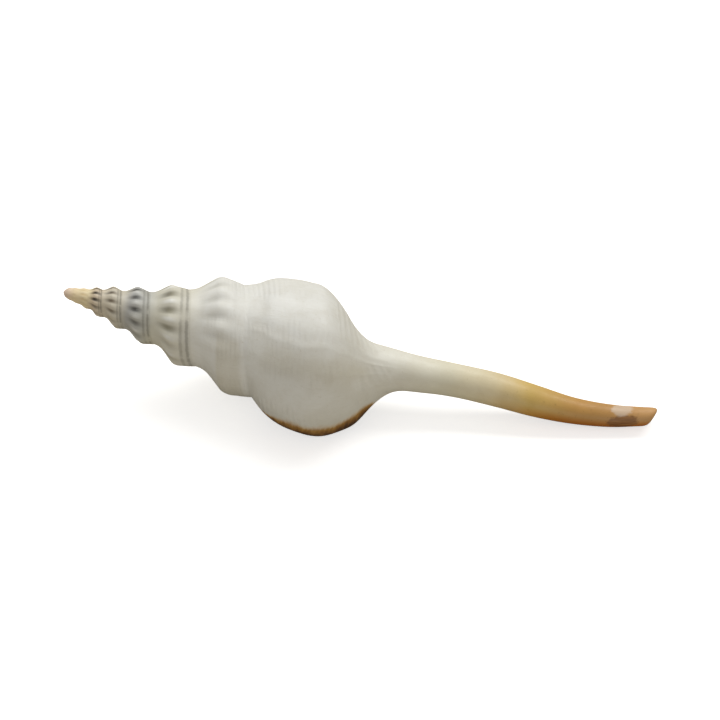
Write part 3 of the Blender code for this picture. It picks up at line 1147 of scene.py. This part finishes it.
def white_floor():
    half = FLOOR_HALF
    floor = add_mesh("floor", [(-half, -half, 0), (half, -half, 0), (half, half, 0), (-half, half, 0)],
                     [(0, 1, 2, 3)])
    made = bpy.data.materials.new("white paper")
    made.use_nodes = True
    tree = made.node_tree
    tree.nodes.clear()
    grain = mottle(tree, put(tree, "TexCoord").outputs["Object"], 0.004, 3.0)
    paper = blend(tree, grain, colour(.97, .97, .97), colour(.99, .99, .99))
    seen = put(tree, "BsdfDiffuse", {"Color": paper})
    dim = put(tree, "BsdfDiffuse", {"Color": DIM_PAPER})
    lit = put(tree, "Emission", {"Color": (1, 1, 1, 1), "Strength": PAPER_GLOW})
    both = put(tree, "AddShader", {0: seen.outputs[0], 1: lit.outputs[0]})
    to_camera = put(tree, "LightPath").outputs["Is Camera Ray"]
    choose = put(tree, "MixShader", {0: to_camera, 1: dim.outputs[0], 2: both.outputs[0]})
    put(tree, "OutputMaterial", {"Surface": choose.outputs[0]})
    floor.data.materials.append(made)
    return floor


floor = white_floor()
print("floor size, m:", 2 * FLOOR_HALF)

# %% [markdown]
# ## Camera
# The photograph looks down at 51.5 degrees, turned 10 degrees to the right of the shell's side,
# from close by with a long lens. The lens and the aim follow from the shell's scale and place.

# %% Camera
AZIMUTH = math.radians(10)
ELEVATION = math.radians(51.5)
DISTANCE = 0.48
PIXELS_PER_MM = 3.947
SHELL_AT = (358.0, 397.6)  # pixels from the left and from the top
FRAME = 720

back = Vector((math.sin(AZIMUTH) * math.cos(ELEVATION), -math.cos(AZIMUTH) * math.cos(ELEVATION),
               math.sin(ELEVATION)))
right = Vector((math.cos(AZIMUTH), math.sin(AZIMUTH), 0))
above = back.cross(right)
target = (right * (FRAME / 2 - SHELL_AT[0]) + above * (SHELL_AT[1] - FRAME / 2)) * MM / PIXELS_PER_MM
camera = bpy.data.objects.new("camera", bpy.data.cameras.new("camera"))
bpy.context.scene.collection.objects.link(camera)
camera.location = back * DISTANCE
camera.rotation_mode = "QUATERNION"
camera.rotation_quaternion = (target - camera.location).to_track_quat("-Z", "Y")
camera.data.lens = camera.data.sensor_width * PIXELS_PER_MM * DISTANCE / MM / FRAME
camera.data.clip_start = 0.01
bpy.context.scene.camera = camera
print("lens mm:", round(camera.data.lens, 1))

# %% [markdown]
# ## Light
# One large soft light stands behind and above the shell, so its upper side is bright and its near
# side falls off gently. A dim warm surround and a small light from the front keep the near side
# readable. Directions are as the camera sees them: above, back towards it, and right.

# %% Lights
# Name, direction (above, back, right), distance, width and height, power in watts, tint
LIGHTS = (("key light", (0.95, 0.25, 0.05), 0.75, (1.5, 0.35), 5.75, (1.0, 1.0, 0.98)),
          ("front light", (-0.6, 0.7, 0.1), 0.9, (0.8, 0.6), 1.6, (1.0, 0.96, 0.88)))
SURROUND = (1.0, 0.97, 0.93, 1)
SURROUND_STRENGTH = 0.30

for name, (up, out, side), distance, size, power, tint in LIGHTS:
    data = bpy.data.lights.new(name, "AREA")
    data.shape = "RECTANGLE"
    data.size, data.size_y = size
    data.energy = power
    data.color = tint
    direction = (above * up + back * out + right * side).normalized()
    light = bpy.data.objects.new(name, data)
    light.location = direction * distance
    light.rotation_mode = "QUATERNION"
    light.rotation_quaternion = direction.to_track_quat("Z", "Y")
    bpy.context.scene.collection.objects.link(light)
world = bpy.data.worlds.new("studio")
world.use_nodes = True
world.node_tree.nodes["Background"].inputs["Color"].default_value = SURROUND
world.node_tree.nodes["Background"].inputs["Strength"].default_value = SURROUND_STRENGTH
bpy.context.scene.world = world
bpy.context.scene.view_settings.view_transform = "Standard"
print("lights:", [row[0] for row in LIGHTS])

# %% [markdown]
# ## Update the view layer
# The view layer is updated once more at the end.

# %% Update the view layer
bpy.context.view_layer.update()
